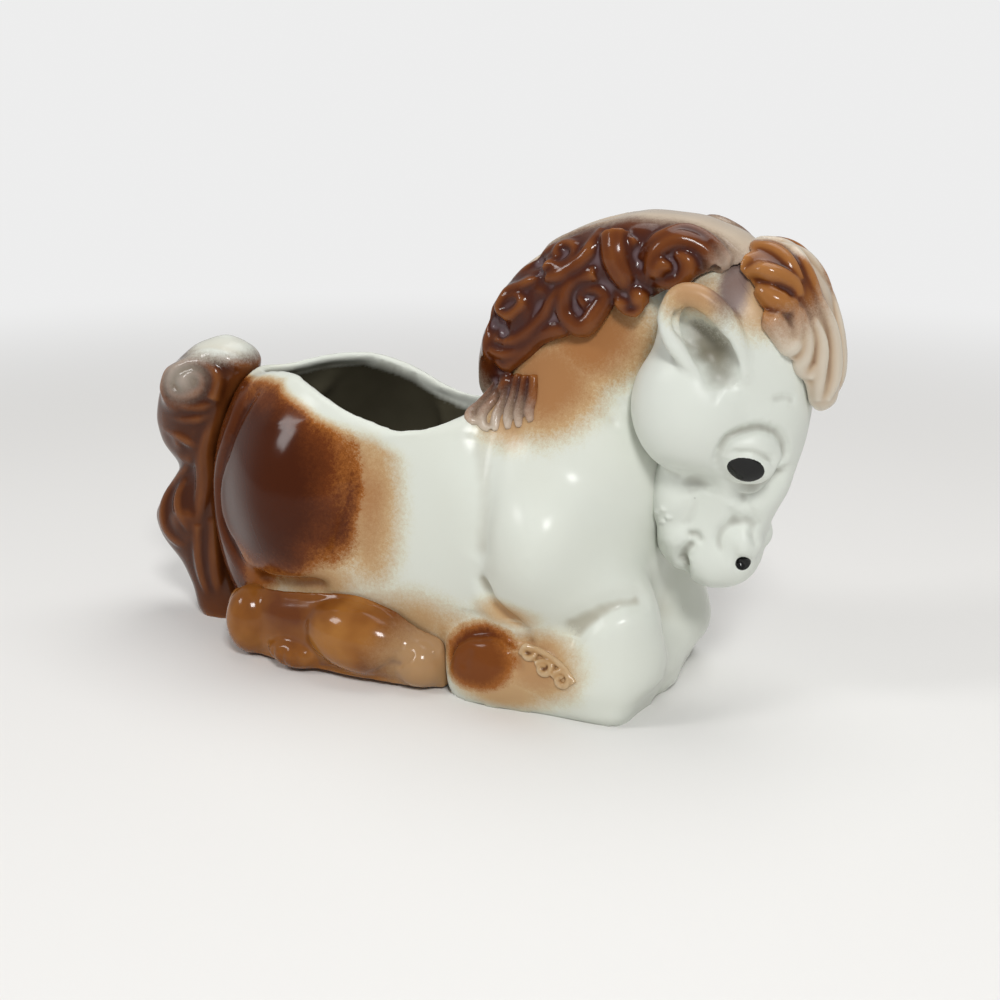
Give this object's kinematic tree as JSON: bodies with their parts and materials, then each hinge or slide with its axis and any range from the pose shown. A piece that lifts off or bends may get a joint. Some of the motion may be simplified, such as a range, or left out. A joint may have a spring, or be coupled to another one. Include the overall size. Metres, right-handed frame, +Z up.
{
  "type": "animal shaped planter",
  "caption": "Small glazed ceramic planter in the shape of a lying pony with a curled mane, its back open as a well for a plant.",
  "frame": {"origin": "on the table plane, in the mirror plane, under the middle of the trunk", "axes": "+X the way the pony faces, +Y its left side, +Z up"},
  "size_m": [0.2101, 0.0798, 0.1283],
  "materials": {
    "cream_glaze": "glossy cream glaze, airbrushed brown on haunch and belly",
    "brown_glaze": "glossy red-brown glaze, pooled darker between the curls",
    "amber_glaze": "glossy amber-brown airbrushed glaze"
  },
  "bodies": {
    "root": {"body_vessel": "cream_glaze", "head": "cream_glaze", "ear_right": "cream_glaze", "ear_left": "cream_glaze", "mane": "brown_glaze", "forelock": "brown_glaze", "tail": "brown_glaze", "hind_leg_right": "amber_glaze", "hind_leg_left": "amber_glaze", "foreleg_right": "cream_glaze", "foreleg_left": "cream_glaze"}
  },
  "joints": []
}
